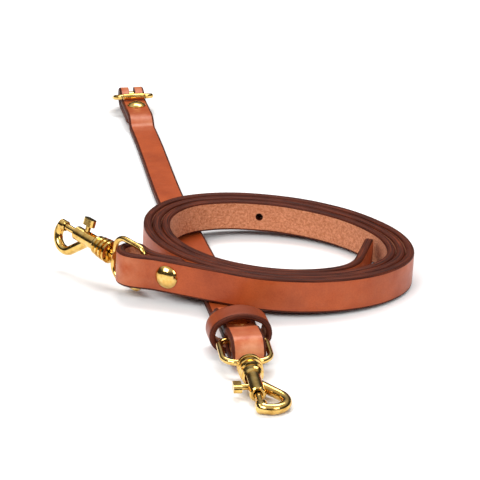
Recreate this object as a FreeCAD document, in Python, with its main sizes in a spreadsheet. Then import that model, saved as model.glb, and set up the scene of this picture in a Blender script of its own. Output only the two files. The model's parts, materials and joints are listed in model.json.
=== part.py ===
import FreeCAD, Part

import math
import os
import re

import Sketcher
from FreeCAD import Placement, Rotation, Vector

# A leather training leash in two lengths. The long strap stands on its edge, wound into a spiral
# coil; the short strap lies flat under it. A snap hook hangs in a riveted fold at one end of each,
# and a buckle in a fold at the short strap's other end takes the long strap's free tip.
# Millimetres and degrees, +Z up. Plan coordinates in the sheet are measured from a point on the
# table beside the coil; origin_shift moves the finished parts so that the origin is under the
# middle of the whole leash.

DRIVING_SIZES = {
    # Leather
    "strap_width": 15.0,
    "strap_thickness": 3.6,
    "layer_gap": 0.1,
    "tip_corner_radius": 5.0,
    # Coil: an oval with one lobe, wound inwards by one pitch a turn
    "coil_centre_x": 13.8,
    "coil_centre_y": -39.9,
    "coil_radius": 57.2,
    "coil_oval": 5.7,
    "coil_oval_angle": 148.0,
    "coil_lobe": 1.0,
    "coil_pitch": 4.1,
    "coil_turns": 3.0,
    "coil_tilt": 2.78,
    "coil_tilt_pivot": 75.8,
    # Long strap
    "lead_in_bend": 24.0,
    "lead_in_angle": 22.0,
    "lead_in_straight": 30.0,
    "hole_radius": 1.7,
    "hole_spacing": 80.0,
    "first_hole": 53.0,
    "hole_count": 3.0,
    # Short strap and its two folded ends
    "short_width": 13.6,
    "short_length": 377.0,
    "short_start_x": -62.0,
    "short_start_y": 222.0,
    "short_heading": -79.95,
    "fold_step_radius": 8.0,
    "buckle_return_height": 2.8,
    "buckle_fold_radius": 3.75,
    "buckle_rivet_from_end": 29.5,
    "buckle_return_length": 41.5,
    "front_return_height": 5.3,
    "front_fold_height": 2.4,
    "front_fold_radius": 4.2,
    "front_rivet_from_end": 25.5,
    "front_return_length": 36.5,
    "front_step_radius": 14.0,
    "slot_length": 13.0,
    "slot_width": 3.2,
    # Keeper
    "keeper_thickness": 2.5,
    "keeper_length": 11.5,
    "keeper_base": 10.0,
    "keeper_side_radius": 6.5,
    "keeper_aside": 0.3,
    "staple_wire": 0.6,
    "staple_crown": 7.0,
    "staple_offset": 4.6,
    # Rivets
    "rivet_radius": 5.0,
    "rivet_dome": 2.3,
    "rivet_rim": 0.45,
    "rivet_tube": 1.55,
    "rivet_shank": 0.9,
    "rivet_flange": 4.0,
    "rivet_flange_thickness": 0.8,
    # Snap hook, measured along its axis from the middle of the eye's front bar
    "eye_wire": 1.25,
    "eye_length": 18.2,
    "eye_half_width": 9.5,
    "eye_front_corner": 6.0,
    "eye_rear_corner": 3.5,
    "stud_boss": 2.2,
    "stud_radius": 1.3,
    "stud_head": 1.7,
    "collar_start": 1.9,
    "collar_end": 11.9,
    "collar_radius": 5.0,
    "barrel_radius": 3.2,
    "barrel_end": 25.5,
    "bore_radius": 1.9,
    "jaw_wire": 2.1,
    "jaw_centre_x": 30.2,
    "jaw_centre_y": 3.8,
    "jaw_radius": 6.2,
    "jaw_tip_start": 32.4,
    "jaw_tip_end": 36.9,
    "nib_radius": 2.4,
    "bolt_radius": 1.5,
    "bolt_start": 15.9,
    "bolt_end": 33.1,
    "lever_position": 19.4,
    "lever_travel": 5.9,
    "lever_radius": 1.2,
    "knob_near": 5.6,
    "knob_far": 8.8,
    "knob_length": 6.5,
    "knob_width": 3.2,
    "spring_wire": 0.17,
    "spring_radius": 1.5,
    "spring_start": 7.0,
    "spring_turns": 6.0,
    # Buckle
    "heel_wire": 1.4,
    "frame_length": 13.5,
    "frame_half_width": 9.9,
    "frame_corner": 3.5,
    "front_bar_radius": 1.75,
    "front_bar_half_length": 7.2,
    "heel_height": 6.8,
    "frame_slope": 15.5,
    "prong_curl": 3.0,
    "prong_length": 14.6,
    "prong_thickness": 1.8,
    "prong_width": 2.6,
    "prong_slope": 23.0,
    # Where the two snap hooks lie
    "front_snap_x": 3.3,
    "front_snap_y": -154.9,
    "front_snap_height": 5.95,
    "front_snap_heading": -82.0,
    "front_snap_rise": -5.5,
    "left_snap_x": -54.1,
    "left_snap_y": -58.5,
    "left_snap_height": 14.65,
    "left_snap_heading": 134.0,
    "left_snap_rise": 8.0,
    "left_eye_roll": -87.0,
    "left_hook_roll": -76.0,
    "front_eye_roll": 0.0,
    "front_hook_roll": -3.0,
    # From the plan's measuring point to the middle of the leash
    "origin_shift_x": 3.485,
    "origin_shift_y": -18.505,
}

TWELFTH_TURN = 30.0
COIL_START_ANGLE = -90.0

# The long strap's fold round the eye, from its rivet outwards and back to the rivet: each move is
# a length along the strap and the angle that it turns, left positive.
LONG_FOLD = [(5.2, 0.0), (4.0, 15.0), (6.6, -7.2), (15.052, -114.1), (8.9, -120.0), (2.802, 10.0),
             (13.0, 36.3), (2.5, 0.0)]
LONG_FOLD_OVERLAP = 7.0
# The free tip leaves the coil and curls across to the far wall.
FREE_TIP = [(21.9, 33.0), (16.9, 44.0), (28.3, 0.0)]

doc = FreeCAD.newDocument("TrainingLeash")
sheet = doc.addObject("Spreadsheet::Sheet", "Sizes")
for row, (alias, number) in enumerate(DRIVING_SIZES.items(), start=1):
    sheet.set(f"A{row}", alias)
    sheet.set(f"B{row}", str(number))
    sheet.setAlias(f"B{row}", alias)
doc.recompute()

sub_parts = []


def size(alias):
    return float(sheet.get(alias))


def value(expression):
    return float(sheet.evalExpression(str(expression)))


def sheet_names(expression):
    """The same expression with every alias written as a cell of the sheet."""
    return re.sub(r"[a-z_]+", cell_name, str(expression))


def cell_name(match):
    word = match.group()
    return f"Sizes.{word}" if word in DRIVING_SIZES else word


# ---------------------------------------------------------------- sketches and features

def new_body(name):
    body = doc.addObject("PartDesign::Body", name)
    body.Label = name
    sub_parts.append(body)
    return body


def new_sketch(body, name, plane="XY_Plane"):
    sketch = body.newObject("Sketcher::SketchObject", name)
    origin_plane = next(item for item in body.Origin.OriginFeatures if item.Role == plane)
    sketch.AttachmentSupport = (origin_plane, [""])
    sketch.MapMode = "FlatFace"
    return sketch


def bind(sketch, kind, geometry, position, expression):
    """Hold one coordinate of a sketch point to an expression in the sheet's sizes."""
    number = value(expression)
    axis = {"DistanceX": -2, "DistanceY": -1}[kind]
    if abs(number) < 1e-9:
        sketch.addConstraint(Sketcher.Constraint("PointOnObject", geometry, position, axis))
        return
    index = sketch.addConstraint(Sketcher.Constraint(kind, -1, 1, geometry, position, number))
    sketch.setExpression(f"Constraints[{index}]", sheet_names(expression))


def add_polygon(sketch, corners):
    """A closed outline of straight lines; each corner is a pair of expressions."""
    points = [Vector(value(x), value(y), 0) for x, y in corners]
    first = sketch.GeometryCount
    count = len(points)
    for index, point in enumerate(points):
        sketch.addGeometry(Part.LineSegment(point, points[(index + 1) % count]), False)
    for index, (x, y) in enumerate(corners):
        line = first + index
        following = first + (index + 1) % count
        sketch.addConstraint(Sketcher.Constraint("Coincident", line, 2, following, 1))
        bind(sketch, "DistanceX", line, 1, x)
        bind(sketch, "DistanceY", line, 1, y)


def add_circle(sketch, x, y, radius):
    circle = Part.Circle(Vector(value(x), value(y), 0), Vector(0, 0, 1), value(radius))
    index = sketch.addGeometry(circle, False)
    bind(sketch, "DistanceX", index, 3, x)
    bind(sketch, "DistanceY", index, 3, y)
    constraint = sketch.addConstraint(Sketcher.Constraint("Radius", index, value(radius)))
    sketch.setExpression(f"Constraints[{constraint}]", sheet_names(radius))


def add_edges(sketch, edges):
    for edge in edges:
        sketch.addGeometry(edge, False)


def feature(body, kind, name, profile, **settings):
    item = body.newObject(f"PartDesign::{kind}", name)
    item.Profile = profile
    for key, setting in settings.items():
        setattr(item, key, setting)
    profile.Visibility = False
    return item


def pad(body, name, profile, length):
    item = feature(body, "Pad", name, profile, SideType="Symmetric")
    item.setExpression("Length", sheet_names(length))
    return item


def revolve(body, name, profile, axis="H_Axis", kind="Revolution"):
    return feature(body, kind, name, profile, ReferenceAxis=(profile, [axis]), Angle=360.0)


def pipe(body, name, profile, path):
    return feature(body, "AdditivePipe", name, profile, Spine=(path, []))


def cut_cylinder(body, name, radius, length, middle, direction):
    """A round hole of this length, centred on a point of the body."""
    hole = body.newObject("PartDesign::SubtractiveCylinder", name)
    hole.setExpression("Radius", sheet_names(radius))
    hole.Height = length
    start = middle - direction * (length / 2)
    hole.Placement = Placement(start, Rotation(Vector(0, 0, 1), direction))
    return hole


def round_corners(body, name, radius, wanted):
    """Fillet the edges of the finished shape for which wanted(edge) is true."""
    doc.recompute()
    base = body.Tip
    names = [f"Edge{i}" for i, edge in enumerate(base.Shape.Edges, start=1) if wanted(edge)]
    item = body.newObject("PartDesign::Fillet", name)
    item.Base = (base, names)
    item.setExpression("Radius", sheet_names(radius))
    return item


# ---------------------------------------------------------------- strips of leather

def direction_of(angle):
    return Vector(math.cos(math.radians(angle)), math.sin(math.radians(angle)), 0)


def move_on(point, angle, length, turn):
    """The point and direction after one straight or round move."""
    if turn == 0:
        return point + direction_of(angle) * length, angle
    radius = length / math.radians(turn)
    centre = point + direction_of(angle + 90) * radius
    return centre + direction_of(angle + turn - 90) * radius, angle + turn


def walk(point, angle, moves):
    """Each state along a path of moves, the start included."""
    states = [(point, angle)]
    for length, turn in moves:
        point, angle = move_on(point, angle, length, turn)
        states.append((point, angle))
    return states


def state_at(point, angle, moves, distance):
    """The point and direction at a distance along a path of moves."""
    for length, turn in moves:
        if distance <= length:
            return move_on(point, angle, distance, turn * distance / length)
        point, angle = move_on(point, angle, length, turn)
        distance -= length
    return point, angle


def reversed_moves(moves):
    return [(length, -turn) for length, turn in reversed(moves)]


def side_edges(states, moves, offset):
    """The path's edges, shifted to the left of it by offset."""
    edges = []
    for (start, angle), (end, end_angle), (length, turn) in zip(states, states[1:], moves):
        left = start + direction_of(angle + 90) * offset
        left_end = end + direction_of(end_angle + 90) * offset
        if turn == 0:
            edges.append(Part.LineSegment(left, left_end))
            continue
        middle, middle_angle = move_on(start, angle, length / 2, turn / 2)
        left_middle = middle + direction_of(middle_angle + 90) * offset
        edges.append(Part.Arc(left, left_middle, left_end))
    return edges


def strip_outline(point, angle, moves, thickness):
    """The closed outline of an open strip whose middle line follows the moves."""
    states = walk(point, angle, moves)
    ends = []
    for state_point, state_angle in (states[0], states[-1]):
        across = direction_of(state_angle + 90) * (thickness / 2)
        ends.append(Part.LineSegment(state_point - across, state_point + across))
    left = side_edges(states, moves, thickness / 2)
    right = side_edges(states, moves, -thickness / 2)
    return left + right + ends


def sidestep(shift, radius):
    """Two opposite bends that shift a strip to its right, or to its left where shift is negative."""
    angle = math.degrees(math.acos(1 - abs(shift) / (2 * radius)))
    bend = math.radians(angle) * radius
    turn = math.copysign(angle, shift)
    return [(bend, -turn), (bend, turn)]


def step_reach(shift, radius):
    return 2 * radius * math.sin(math.acos(1 - abs(shift) / (2 * radius)))


# ---------------------------------------------------------------- long strap

def coil_start():
    """Point on the coil's middle line where its first full turn begins."""
    angle = math.radians(COIL_START_ANGLE)
    oval = math.radians(size("coil_oval_angle"))
    reach = size("coil_radius")
    reach += size("coil_oval") * math.cos(2 * (angle - oval)) + size("coil_lobe") * math.cos(3 * angle)
    slide = -size("coil_pitch") / (2 * math.pi)
    slide -= 2 * size("coil_oval") * math.sin(2 * (angle - oval))
    slide -= 3 * size("coil_lobe") * math.sin(3 * angle)
    centre = Vector(size("coil_centre_x"), size("coil_centre_y"), 0)
    return centre + direction_of(COIL_START_ANGLE) * reach + direction_of(COIL_START_ANGLE + 90) * slide


def coil_moves():
    """Arcs of a twelfth of a turn, each a little tighter than the one a turn before it."""
    moves = []
    for count in range(int(size("coil_turns") * 12)):
        along = (count + 0.5) * TWELFTH_TURN
        angle = math.radians(COIL_START_ANGLE + along)
        radius = size("coil_radius") - size("coil_pitch") * along / 360
        radius -= 3 * size("coil_oval") * math.cos(2 * (angle - math.radians(size("coil_oval_angle"))))
        radius -= 8 * size("coil_lobe") * math.cos(3 * angle)
        moves.append((radius * math.radians(TWELFTH_TURN), TWELFTH_TURN))
    return moves


def long_strap_path():
    """Start, direction and moves of the long strap, from its folded-back end to its free tip."""
    lead_in = [(size("lead_in_bend"), -size("lead_in_angle")), (size("lead_in_straight"), 0.0)]
    outwards = lead_in + LONG_FOLD + [(LONG_FOLD_OVERLAP, 0.0)]
    start, angle = walk(coil_start(), COIL_START_ANGLE - 90, outwards)[-1]
    return start, angle - 180, reversed_moves(outwards) + coil_moves() + FREE_TIP


def long_strap_rivet():
    """Middle of the outer layer at the rivet, and the direction that the cap faces."""
    lead_in = [(size("lead_in_bend"), -size("lead_in_angle")), (size("lead_in_straight"), 0.0)]
    point, angle = walk(coil_start(), COIL_START_ANGLE - 90, lead_in)[-1]
    return point, direction_of(angle + 90)


def make_long_strap():
    body = new_body("long_strap")
    start, angle, moves = long_strap_path()
    outline = new_sketch(body, "long_strap_outline")
    add_edges(outline, strip_outline(start, angle, moves, size("strap_thickness")))
    pad(body, "long_strap_pad", outline, "strap_width")
    rivet, facing = long_strap_rivet()
    inner_layer = size("strap_thickness") + size("layer_gap")
    cut_cylinder(body, "long_rivet_hole", "hole_radius", 4 * inner_layer, rivet - facing * (inner_layer / 2),
                 facing)
    total = sum(length for length, turn in moves)
    for count in range(int(size("hole_count"))):
        distance = total - size("first_hole") - count * size("hole_spacing")
        point, heading = state_at(start, angle, moves, distance)
        cut_cylinder(body, f"adjusting_hole_{count + 1}", "hole_radius", 2 * size("coil_pitch") - 3.4, point,
                     direction_of(heading + 90))
    ends = (start, walk(start, angle, moves)[-1][0])
    round_corners(body, "long_strap_tips", "tip_corner_radius", lambda edge: is_tip_edge(edge, ends))
    return total


def is_tip_edge(edge, ends):
    """True for a short edge across the leather at a corner of a strap's end."""
    if abs(edge.Length - size("strap_thickness")) > 0.01 or edge.Curve.TypeId != "Part::GeomLine":
        return False
    middle = edge.CenterOfMass
    flat = Vector(middle.x, middle.y, 0)
    return any(flat.distanceToPoint(Vector(end.x, end.y, 0)) < 0.01 for end in ends)


# ---------------------------------------------------------------- short strap

def short_strap_path():
    """Side view of the short strap, from the buckle fold's overlap to the front fold's overlap."""
    half = size("strap_thickness") / 2
    doubled = size("strap_thickness") + size("layer_gap")
    bend = size("fold_step_radius")
    buckle_low = size("buckle_return_height")
    buckle_radius = size("buckle_fold_radius")
    buckle_drop = 2 * buckle_radius - doubled
    buckle_centre = buckle_radius + half
    settle = buckle_low + doubled - half
    settle_start = size("buckle_return_length") + 3.0
    front_low = size("front_return_height")
    front_fold = size("front_fold_height")
    front_radius = size("front_fold_radius")
    front_centre = front_radius + half
    front_drop = front_fold + 2 * front_radius - front_low - doubled
    rise = front_low + doubled - half
    gentle = size("front_step_radius")
    return_drop = front_low - front_fold
    rivet_run = 19.5
    top_run = 13.0
    level_start = buckle_centre + 1.0 + step_reach(buckle_drop, bend)
    flat_start = settle_start + step_reach(settle, bend)
    rise_end = size("short_length") - size("front_return_length") - 1.0
    flat_end = rise_end - step_reach(rise, gentle)
    front_rise_start = size("short_length") - top_run - step_reach(front_drop, bend)
    moves = [
        (size("buckle_return_length") - buckle_centre, 0.0),
        (math.pi * buckle_radius, -180.0),
        (1.0, 0.0),
    ]
    moves += sidestep(buckle_drop, bend)
    moves += [(settle_start - level_start, 0.0)]
    moves += sidestep(settle, bend)
    moves += [(flat_end - flat_start, 0.0)]
    moves += sidestep(-rise, gentle)
    moves += [(front_rise_start - rise_end, 0.0)]
    moves += sidestep(-front_drop, bend)
    moves += [(top_run - front_centre, 0.0), (math.pi * front_radius, -180.0)]
    low_run = rivet_run - step_reach(return_drop, bend) - front_centre
    moves += [(low_run, 0.0)]
    moves += sidestep(return_drop, bend)
    moves += [(size("front_return_length") - rivet_run, 0.0)]
    return Vector(size("buckle_return_length"), buckle_low, 0), 180.0, moves


def make_short_strap():
    body = new_body("short_strap")
    start, angle, moves = short_strap_path()
    outline = new_sketch(body, "short_strap_outline", "XZ_Plane")
    add_edges(outline, strip_outline(start, angle, moves, size("strap_thickness")))
    pad(body, "short_strap_pad", outline, "short_width")
    slot = new_sketch(body, "prong_slot_outline")
    half = "slot_width / 2"
    add_polygon(slot, [("-1", f"-{half}"), ("slot_length", f"-{half}"), ("slot_length", half), ("-1", half)])
    cut = feature(body, "Pocket", "prong_slot", slot, SideType="Symmetric")
    cut.Length = 40.0
    up = Vector(0, 0, 1)
    for name, along in (("buckle_rivet_hole", size("buckle_rivet_from_end")),
                        ("front_rivet_hole", size("short_length") - size("front_rivet_from_end"))):
        cut_cylinder(body, name, "hole_radius", 30.0, Vector(along, 0, 6.0), up)
    ends = [start, walk(start, angle, moves)[-1][0]]
    round_corners(body, "short_strap_tips", "tip_corner_radius",
                  lambda edge: is_short_tip_edge(edge, ends))
    return sum(length for length, turn in moves)


def is_short_tip_edge(edge, ends):
    if abs(edge.Length - size("strap_thickness")) > 0.01 or edge.Curve.TypeId != "Part::GeomLine":
        return False
    middle = edge.CenterOfMass
    return any(math.hypot(middle.x - end.x, middle.z - end.y) < 0.01 for end in ends)


# ---------------------------------------------------------------- keeper

def keeper_moves():
    """The keeper's round: a flat base, two tight sides and a slack top."""
    side = size("keeper_side_radius")
    top = side + size("keeper_base")
    side_length = math.radians(150.0) * side
    top_length = math.radians(60.0) * top
    return [(size("keeper_base"), 0.0), (side_length, 150.0), (top_length, 60.0), (side_length, 150.0)]


def make_keeper():
    body = new_body("keeper_loop")
    outline = new_sketch(body, "keeper_outline", "YZ_Plane")
    moves = keeper_moves()
    start = Vector(-size("keeper_base") / 2, size("keeper_thickness") / 2, 0)
    states = walk(start, 0.0, moves)
    for side in (0.5, -0.5):
        add_edges(outline, side_edges(states, moves, side * size("keeper_thickness")))
    pad(body, "keeper_pad", outline, "keeper_length")


def make_keeper_staple():
    """A wire staple across the keeper's butted ends, its legs sunk in the leather."""
    body = new_body("keeper_staple")
    path = new_sketch(body, "staple_path", "YZ_Plane")
    half = size("staple_crown") / 2
    low = 0.4
    top = size("keeper_thickness") + size("staple_wire") / 2 - 0.1
    corner = size("staple_wire")
    add_edges(path, [
        Part.LineSegment(Vector(-half, low, 0), Vector(-half, top - corner, 0)),
        Part.Arc(Vector(-half, top - corner, 0), Vector(-half + 0.293 * corner, top - 0.293 * corner, 0),
                 Vector(-half + corner, top, 0)),
        Part.LineSegment(Vector(-half + corner, top, 0), Vector(half - corner, top, 0)),
        Part.Arc(Vector(half - corner, top, 0), Vector(half - 0.293 * corner, top - 0.293 * corner, 0),
                 Vector(half, top - corner, 0)),
        Part.LineSegment(Vector(half, top - corner, 0), Vector(half, low, 0)),
    ])
    section = new_sketch(body, "staple_section")
    section.AttachmentOffset = Placement(Vector(0, 0, low), Rotation())
    add_circle(section, "0", "-staple_crown / 2", "staple_wire / 2")
    pipe(body, "staple_wire_pipe", section, path)


# ---------------------------------------------------------------- rivets

def rivet_grip():
    return "(2 * strap_thickness + layer_gap)"


def make_rivet(prefix):
    """A domed cap with a tube under it, and the flanged post that is set into the tube."""
    cap = new_body(f"{prefix}_rivet_cap")
    outline = new_sketch(cap, f"{prefix}_cap_outline", "XZ_Plane")
    rim, dome, rim_height = size("rivet_radius"), size("rivet_dome"), size("rivet_rim")
    tube, shank = size("rivet_tube"), size("rivet_shank") + 0.05
    corners = [Vector(rim, rim_height, 0), Vector(rim, 0, 0), Vector(tube, 0, 0), Vector(tube, -4.5, 0),
               Vector(shank, -4.5, 0), Vector(shank, 0.6, 0), Vector(0, 0.6, 0), Vector(0, dome, 0)]
    add_edges(outline, [Part.LineSegment(a, b) for a, b in zip(corners, corners[1:])])
    shoulder = Vector(0.62 * rim, rim_height + 0.74 * (dome - rim_height), 0)
    add_edges(outline, [Part.Arc(corners[-1], shoulder, corners[0])])
    revolve(cap, f"{prefix}_cap_turned", outline, "V_Axis")
    post = new_body(f"{prefix}_rivet_post")
    section = new_sketch(post, f"{prefix}_post_outline", "XZ_Plane")
    under = f"-{rivet_grip()}"
    add_polygon(section, [
        ("0", f"{under} - rivet_flange_thickness"),
        ("rivet_flange", f"{under} - rivet_flange_thickness"),
        ("rivet_flange", under),
        ("rivet_tube", under),
        ("rivet_tube", "-4.7"),
        ("rivet_shank", "-4.7"),
        ("rivet_shank", "0.4"),
        ("0", "0.4"),
    ])
    revolve(post, f"{prefix}_post_turned", section, "V_Axis")
    return cap, post


# ---------------------------------------------------------------- snap hooks

def rounded_rectangle(rear, front, half_width, rear_corner, front_corner):
    """Closed round of lines and arcs that starts in the middle of its rear side."""
    quarter = math.pi / 2
    long_side = front - rear - rear_corner - front_corner
    moves = [
        (half_width - rear_corner, 0.0), (quarter * rear_corner, -90.0), (long_side, 0.0),
        (quarter * front_corner, -90.0), (2 * (half_width - front_corner), 0.0),
        (quarter * front_corner, -90.0), (long_side, 0.0), (quarter * rear_corner, -90.0),
        (half_width - rear_corner, 0.0),
    ]
    return side_edges(walk(Vector(rear, 0, 0), 90.0, moves), moves, 0.0)


def make_eye(prefix):
    """The ring that the strap folds round, with the stud that the hook turns on."""
    body = new_body(f"{prefix}_eye")
    path = new_sketch(body, f"{prefix}_eye_path")
    add_edges(path, rounded_rectangle(-size("eye_length"), 0.0, size("eye_half_width"),
                                      size("eye_rear_corner"), size("eye_front_corner")))
    section = new_sketch(body, f"{prefix}_eye_section", "XZ_Plane")
    add_circle(section, "-eye_length", "0", "eye_wire")
    pipe(body, f"{prefix}_eye_ring", section, path)
    stud = new_sketch(body, f"{prefix}_stud_outline")
    add_polygon(stud, [
        ("-1", "0"), ("-1", "stud_boss"), ("collar_start - 0.4", "stud_boss"),
        ("collar_start - 0.4", "stud_radius"), ("5", "stud_radius"), ("5", "stud_head"),
        ("6.6", "stud_head"), ("6.6", "0"),
    ])
    revolve(body, f"{prefix}_stud", stud)


def collar_profile():
    """Half section of the ribbed collar: four rings that get smaller towards the barrel."""
    rings = 4
    ring_pitch = "(collar_end - collar_start) / 4"
    corners = [("collar_start", "0")]
    for ring in range(rings):
        start = f"collar_start + {ring} * {ring_pitch}"
        crest = f"collar_radius - {round(0.08 * ring * ring, 2)}"
        valley = "collar_radius - 1.3"
        corners += [(f"{start} + 0.05", valley), (f"{start} + 0.4", crest), (f"{start} + 1.5", crest),
                    (f"{start} + 1.9", valley)]
    return corners + [("collar_end + 0.4", "barrel_radius")]


def make_hook(prefix):
    """Collar, barrel and jaw of the hook, in one casting, bored for the bolt and its spring."""
    body = new_body(f"{prefix}_hook")
    path = new_sketch(body, f"{prefix}_jaw_path")
    radius = size("jaw_radius")
    centre = Vector(size("jaw_centre_x"), size("jaw_centre_y"), 0)
    shoulder = centre + direction_of(130) * radius
    root = shoulder - direction_of(40) * 11.4
    tip = centre + direction_of(-40) * radius
    add_edges(path, [
        Part.LineSegment(root, shoulder),
        Part.Arc(shoulder, centre + direction_of(44) * radius, tip),
    ])
    section = new_sketch(body, f"{prefix}_jaw_section", "YZ_Plane")
    frame = Placement(root, Rotation(Vector(1, 0, 0), direction_of(40)))
    section.MapMode = "Deactivated"
    section.Placement = frame.multiply(Placement(Vector(), Rotation(Vector(1, 1, 1), 120)))
    add_circle(section, "0", "0", "jaw_wire")
    pipe(body, f"{prefix}_jaw", section, path)
    barrel = new_sketch(body, f"{prefix}_barrel_outline")
    add_polygon(barrel, collar_profile() + [
        ("barrel_end - 0.5", "barrel_radius"), ("barrel_end", "barrel_radius - 0.5"), ("barrel_end", "0"),
    ])
    revolve(body, f"{prefix}_barrel", barrel)
    nib = new_sketch(body, f"{prefix}_nib_outline")
    add_polygon(nib, [
        ("jaw_tip_start", "0"), ("jaw_tip_start", "nib_radius - 0.4"),
        ("jaw_tip_start + 0.4", "nib_radius"), ("jaw_tip_end - 1", "nib_radius"),
        ("jaw_tip_end", "nib_radius - 1.2"), ("jaw_tip_end", "0"),
    ])
    revolve(body, f"{prefix}_nib", nib)
    bore = new_sketch(body, f"{prefix}_bore_outline")
    add_polygon(bore, [
        ("collar_start - 1", "0"), ("collar_start - 1", "stud_radius + 0.1"), ("4.7", "stud_radius + 0.1"),
        ("4.7", "bore_radius"), ("bolt_end + 0.3", "bore_radius"), ("bolt_end + 0.3", "0"),
    ])
    revolve(body, f"{prefix}_bore", bore, kind="Groove")
    slot = new_sketch(body, f"{prefix}_slot_outline", "XZ_Plane")
    add_polygon(slot, [
        ("lever_position - lever_travel - lever_radius - 0.2", "-lever_radius - 0.15"),
        ("lever_position + lever_radius + 0.2", "-lever_radius - 0.15"),
        ("lever_position + lever_radius + 0.2", "lever_radius + 0.15"),
        ("lever_position - lever_travel - lever_radius - 0.2", "lever_radius + 0.15"),
    ])
    cut = feature(body, "Pocket", f"{prefix}_slot", slot, Reversed=True)
    cut.Length = 8.0
    return body


def make_bolt(prefix):
    """The round bolt that closes the jaw."""
    body = new_body(f"{prefix}_bolt")
    outline = new_sketch(body, f"{prefix}_bolt_outline")
    add_polygon(outline, [
        ("bolt_start", "0"), ("bolt_start", "bore_radius - 0.1"), ("bolt_start + 6.5", "bore_radius - 0.1"),
        ("bolt_start + 6.5", "bolt_radius"), ("bolt_end - 0.6", "bolt_radius"),
        ("bolt_end", "bolt_radius - 0.6"), ("bolt_end", "0"),
    ])
    revolve(body, f"{prefix}_bolt_turned", outline)
    cut_cylinder(body, f"{prefix}_lever_hole", "lever_radius", 4.0,
                 Vector(size("lever_position"), -2.0, 0), Vector(0, 1, 0))


def make_thumb_lever(prefix):
    """The stud and thumb knob pressed into the bolt's side."""
    body = new_body(f"{prefix}_thumb_lever")
    stem = new_sketch(body, f"{prefix}_stem_outline", "XZ_Plane")
    add_circle(stem, "lever_position", "0", "lever_radius")
    stalk = feature(body, "Pad", f"{prefix}_stem", stem)
    stalk.setExpression("Length", sheet_names("knob_near + 1"))
    knob = new_sketch(body, f"{prefix}_knob_outline", "XZ_Plane")
    knob.AttachmentOffset = Placement(Vector(0, 0, size("knob_near")), Rotation())
    half = size("knob_length") / 2 - size("knob_width") / 2
    x, round_radius = size("lever_position"), size("knob_width") / 2
    low_left, low_right = Vector(x - half, -round_radius, 0), Vector(x + half, -round_radius, 0)
    high_left, high_right = Vector(x - half, round_radius, 0), Vector(x + half, round_radius, 0)
    add_edges(knob, [
        Part.LineSegment(low_left, low_right),
        Part.Arc(low_right, Vector(x + half + round_radius, 0, 0), high_right),
        Part.LineSegment(high_right, high_left),
        Part.Arc(high_left, Vector(x - half - round_radius, 0, 0), low_left),
    ])
    thick = feature(body, "Pad", f"{prefix}_knob", knob)
    thick.setExpression("Length", sheet_names("knob_far - knob_near"))


def make_spring(prefix):
    """The coil spring behind the bolt: a round wire swept along a helix."""
    helix = doc.addObject("Part::Helix", f"{prefix}_spring_path")
    length = "(bolt_start - spring_start - 4 * spring_wire)"
    helix.setExpression("Pitch", sheet_names(f"{length} / spring_turns"))
    helix.setExpression("Height", sheet_names(length))
    helix.setExpression("Radius", sheet_names("spring_radius"))
    section = doc.addObject("Part::Circle", f"{prefix}_spring_section")
    section.setExpression("Radius", sheet_names("spring_wire"))
    section.Placement = Placement(Vector(size("spring_radius"), 0, 0), Rotation(Vector(1, 0, 0), 90))
    spring = doc.addObject("Part::Sweep", f"{prefix}_spring")
    spring.Sections = [section]
    spring.Spine = helix
    spring.Solid = True
    spring.Frenet = True
    spring.Label = f"{prefix}_spring"
    sub_parts.append(spring)


# ---------------------------------------------------------------- buckle

def make_buckle_frame():
    body = new_body("buckle_frame")
    path = new_sketch(body, "frame_path")
    corner = size("frame_corner")
    add_edges(path, rounded_rectangle(0.0, size("frame_length"), size("frame_half_width"), corner, corner))
    section = new_sketch(body, "frame_section", "XZ_Plane")
    add_circle(section, "0", "0", "heel_wire")
    pipe(body, "frame_ring", section, path)
    bar = new_sketch(body, "front_bar_outline")
    edge = "frame_length + front_bar_radius"
    add_polygon(bar, [
        ("frame_length", "-front_bar_half_length"), (edge, "-front_bar_half_length + 1.5"),
        (edge, "front_bar_half_length - 1.5"), ("frame_length", "front_bar_half_length"),
    ])
    turned = body.newObject("PartDesign::Revolution", "front_bar")
    turned.Profile = bar
    turned.ReferenceAxis = (bar, ["Edge4"])
    turned.Angle = 360.0


def make_prong():
    """The prong: a curl round the heel bar and a blunt round-ended tongue."""
    body = new_body("buckle_prong")
    curl = new_sketch(body, "curl_outline", "XZ_Plane")
    add_circle(curl, "0", "0", "prong_curl")
    pad(body, "prong_curl_pad", curl, "prong_width")
    tongue = new_sketch(body, "tongue_outline", "XZ_Plane")
    half = size("prong_thickness") / 2
    end = size("prong_length") - half
    add_edges(tongue, [
        Part.LineSegment(Vector(0, -half, 0), Vector(end, -half, 0)),
        Part.Arc(Vector(end, -half, 0), Vector(end + half, 0, 0), Vector(end, half, 0)),
        Part.LineSegment(Vector(end, half, 0), Vector(0, half, 0)),
        Part.LineSegment(Vector(0, half, 0), Vector(0, -half, 0)),
    ])
    pad(body, "prong_tongue_pad", tongue, "prong_width")
    cut_cylinder(body, "prong_bore", "heel_wire + 0.1", 2 * size("prong_width"), Vector(0, 0, 0),
                 Vector(0, 1, 0))


# ---------------------------------------------------------------- building and placing

def origin_shift():
    return Placement(Vector(size("origin_shift_x"), size("origin_shift_y"), 0), Rotation())


def coil_placement():
    """The coil tilts about its right-hand side, because its left side lies on the short strap."""
    pivot = Vector(size("coil_tilt_pivot"), 0, 0)
    tilt = Rotation(Vector(0, 1, 0), size("coil_tilt"))
    raised = Placement(Vector(0, 0, size("strap_width") / 2), Rotation())
    turned = Placement(pivot, tilt).multiply(Placement(-pivot, Rotation()))
    return origin_shift().multiply(turned).multiply(raised)


def short_strap_placement():
    start = Vector(size("short_start_x"), size("short_start_y"), 0)
    return origin_shift().multiply(Placement(start, Rotation(Vector(0, 0, 1), size("short_heading"))))


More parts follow.
